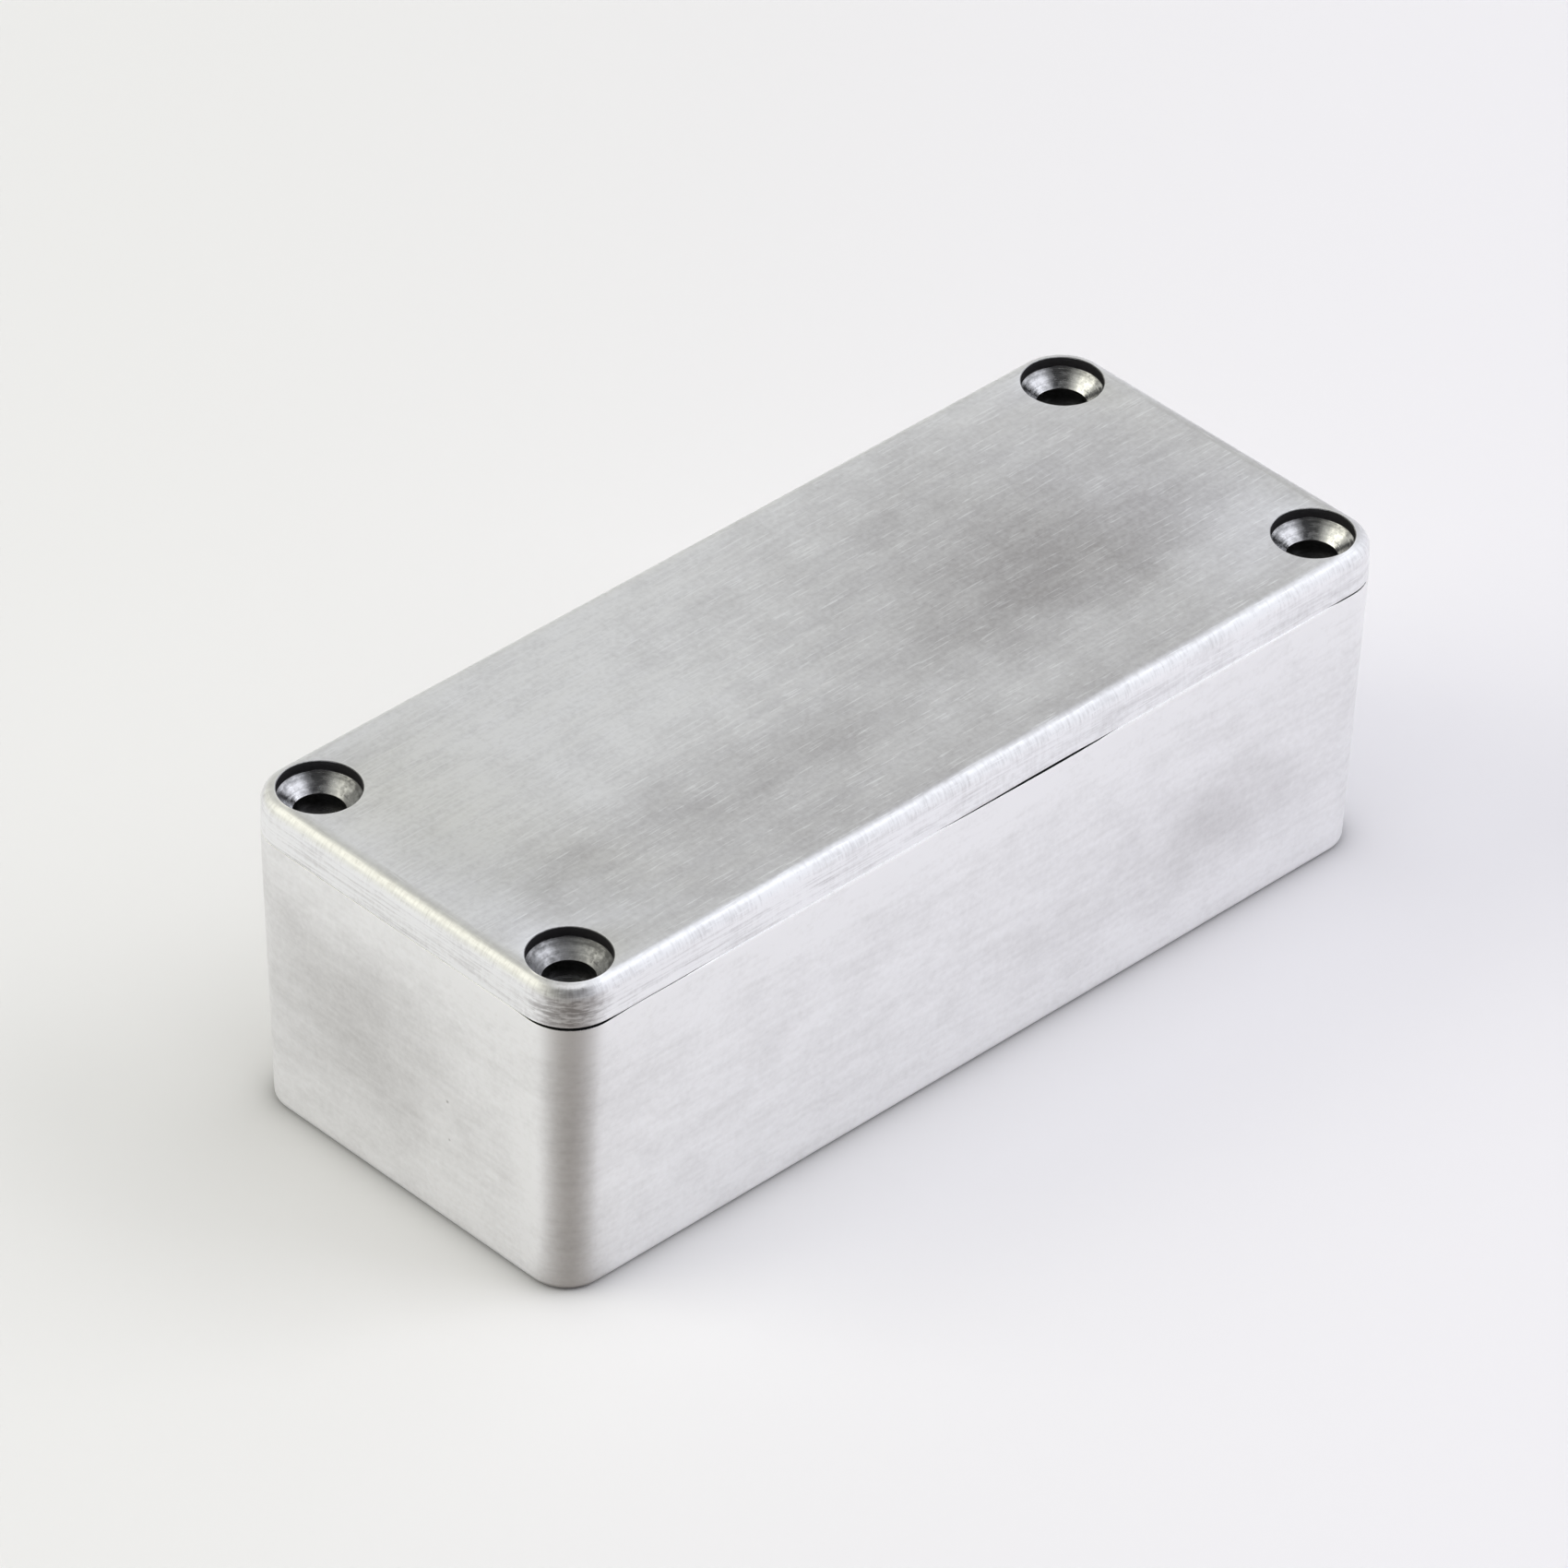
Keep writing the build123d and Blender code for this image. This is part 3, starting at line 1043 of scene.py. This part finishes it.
# %% [markdown]
# ## The light
# Two large soft lamps stand right and left of the box, seen from the camera, a little behind it,
# and a third hangs above. The first two show as the bright lines along the lid's round edges.
# The left one is warm and the right one cool, as those lines are.
#
# Three more lamps shape the box's shadow on the sheet, which lies at its left and right, and
# hardly in front. Stronger soft lamps would do that too, but would burn out the metal, so these
# don't show in it.

# %% Hang the lamps
camera_azimuth = -44.527
lamp_distance = 2.5
lamps = [  # name, azimuth from the camera's, elevation, size, level and colour
    ("lamp_right", 124, 57, 1.9, 0.64, (0.92, 0.95, 1.0)),
    ("lamp_left", -93, 42.5, 1.5, 0.52, (1.0, 0.97, 0.78)),
    ("lamp_above", 0, 88, 1.25, 1.0, (1.0, 1.0, 1.0)),
    ("floor_lamp_front", 0, 80, 2.0, 2.25, (1.0, 1.0, 1.0)),
    ("floor_lamp_right", 92, 42, 1.5, 2.55, (0.98, 0.97, 1.0)),
    ("floor_lamp_left", -84, 38, 1.5, 2.35, (1.0, 0.985, 0.85)),
]


def heading(azimuth, elevation):
    """The unit vector from the box towards an azimuth and an elevation, in degrees."""
    azimuth, elevation = math.radians(azimuth), math.radians(elevation)
    level = math.cos(elevation)
    return Vector((math.sin(azimuth) * level, -math.cos(azimuth) * level, math.sin(elevation)))


def soft_lamp(name, azimuth, elevation, size, level, colour):
    """A square lamp that faces the box.

    Its energy is pi * area * level, so level is what a mirror would show of it.
    """
    data = bpy.data.lights.new(name, "AREA")
    data.shape = "SQUARE"
    data.size = size
    data.energy = math.pi * size**2 * level
    data.color = colour
    lamp = bpy.data.objects.new(name, data)
    towards = heading(azimuth, elevation)
    lamp.location = towards * lamp_distance
    lamp.rotation_mode = "QUATERNION"
    lamp.rotation_quaternion = towards.to_track_quat("Z", "Y")
    bpy.context.scene.collection.objects.link(lamp)
    return lamp


for name, from_camera, *rest in lamps:
    lamp = soft_lamp(name, camera_azimuth + from_camera, *rest)
    lamp.visible_glossy = not name.startswith("floor_lamp")
print("lamps:", len(lamps))

# %% [markdown]
# The room gives the rest: pale at both sides, greyer above and behind, where the lid's top looks,
# and dark in front, where the camera stands. That dark patch is what darkens the far sides of
# the countersinks. A photographed room could be wrapped round the box, but its windows would
# show in the metal. Here the level is a smooth function of the direction.

# %% Make the room
room_levels = {"behind": 0.705, "above": 0.435, "beside": 0.90, "ahead": 0.04}
ahead_grey = 0.4  # ahead, below the dark patch
room_on_floor = 0.3  # the share of the room's light that the floor gets
backdrop_level = 0.87
left_tint, right_tint = (0.88, 0.877, 0.785), (0.98, 0.99, 1.04)


def room_level(tree, towards, behind, above, beside, ahead):
    """How bright the room is in each direction.

    The level behind changes to the one above as the direction rises, and then to the one beside
    as it turns sideways. Ahead lies the dark patch: full from about 43 to 59 degrees up, with
    soft borders, over a grey, and above it the level above again.
    """
    rise = vector_calc(tree, "DOT_PRODUCT", towards, (0, 0, 1))
    sideways = calc(tree, "ABSOLUTE", vector_calc(tree, "DOT_PRODUCT", towards, rightwards))
    level = ramp(tree, rise, 0.62, 0.80, behind, above)
    level = ramp(tree, sideways, 0.35, 0.85, level, beside)
    levelled = vector_calc(tree, "NORMALIZE", vector_calc(tree, "MULTIPLY", towards, (1, 1, 0)))
    in_front = ramp(tree, vector_calc(tree, "DOT_PRODUCT", levelled, dark_way), 0.5, 0.95)
    dark = ramp(tree, rise, 0.52, 0.68, ahead_grey, ahead)
    low = ramp(tree, rise, 0.86, 0.96, 1.0, 0.0)
    return ramp(tree, calc(tree, "MULTIPLY", in_front, low), 0.0, 1.0, level, dark, "LINEAR")


def pale_room():
    """The world, warmer at the left and cooler at the right.

    Metal shows the room's level, the sheet is lit by a share of it, and the camera sees one
    plain level past the sheet.
    """
    world = bpy.data.worlds.new("pale_room")
    world.use_nodes = True
    tree = world.node_tree
    tree.nodes.clear()
    towards = add(tree, "ShaderNodeTexCoord").outputs["Generated"]
    to_right = vector_calc(tree, "DOT_PRODUCT", towards, rightwards)
    tint = mixed_colour(tree, ramp(tree, to_right, -0.7, 0.7), left_tint, right_tint)
    ray = add(tree, "ShaderNodeLightPath").outputs
    share = ramp(tree, ray["Is Glossy Ray"], 0.0, 1.0, room_on_floor, 1.0)
    level = calc(tree, "MULTIPLY", room_level(tree, towards, **room_levels), share)
    seen = calc(tree, "MULTIPLY", ray["Is Camera Ray"], backdrop_level)
    strength = calc(tree, "MAXIMUM", level, seen)
    shader = add(tree, "ShaderNodeBackground", {"Color": tint, "Strength": strength})
    add(tree, "ShaderNodeOutputWorld", {"Surface": shader.outputs[0]})
    return world


bpy.context.scene.world = pale_room()
print("room:", bpy.context.scene.world.name)

# %% [markdown]
# ## The camera
# A long lens, from about a metre away, above the near corner. A view that looks alike could be
# found by eye. This one was solved from the photo's edges and screw holes instead, so that the
# render can be laid over the photo: the camera looks at a point inside the box, rolled a little,
# and slid a few millimetres sideways and up.

# %% Make the camera
camera_elevation = 37.148
camera_roll = 1.334
camera_distance = 0.959411
aim = Vector((0, 0, 0.015))
slide_right, slide_up = -0.002946, 0.002573
camera_data = bpy.data.cameras.new("camera")
camera_data.sensor_width = 36.0
camera_data.lens = 269.84
camera_data.clip_start = 0.01
camera = bpy.data.objects.new("camera", camera_data)
back = heading(camera_azimuth, camera_elevation)
roll = Matrix.Rotation(math.radians(camera_roll), 3, back)
right = roll @ heading(camera_azimuth + 90, 0)
above = back.cross(right)
place = aim + back * camera_distance + right * slide_right + above * slide_up
camera.matrix_world = Matrix(
    [[right[k], above[k], back[k], place[k]] for k in range(3)] + [[0, 0, 0, 1]]
)
bpy.context.scene.collection.objects.link(camera)
bpy.context.scene.camera = camera
bpy.context.scene.view_settings.view_transform = "Standard"
print("camera at, mm:", [round(value / mm, 1) for value in place])

# %% [markdown]
# ## The model's size
# The finished model's box is printed, in millimetres. The finished model has to stay inside the
# imported model's box. It could be compared with the imported model's box by eye in a render,
# but a few hundredths of a millimetre don't show.

# %% Write the sizes and finish
model_low, model_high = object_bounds()
model_size = [round((high - low) / mm, 3) for low, high in zip(model_low, model_high)]
print("model's box, mm:", model_size)
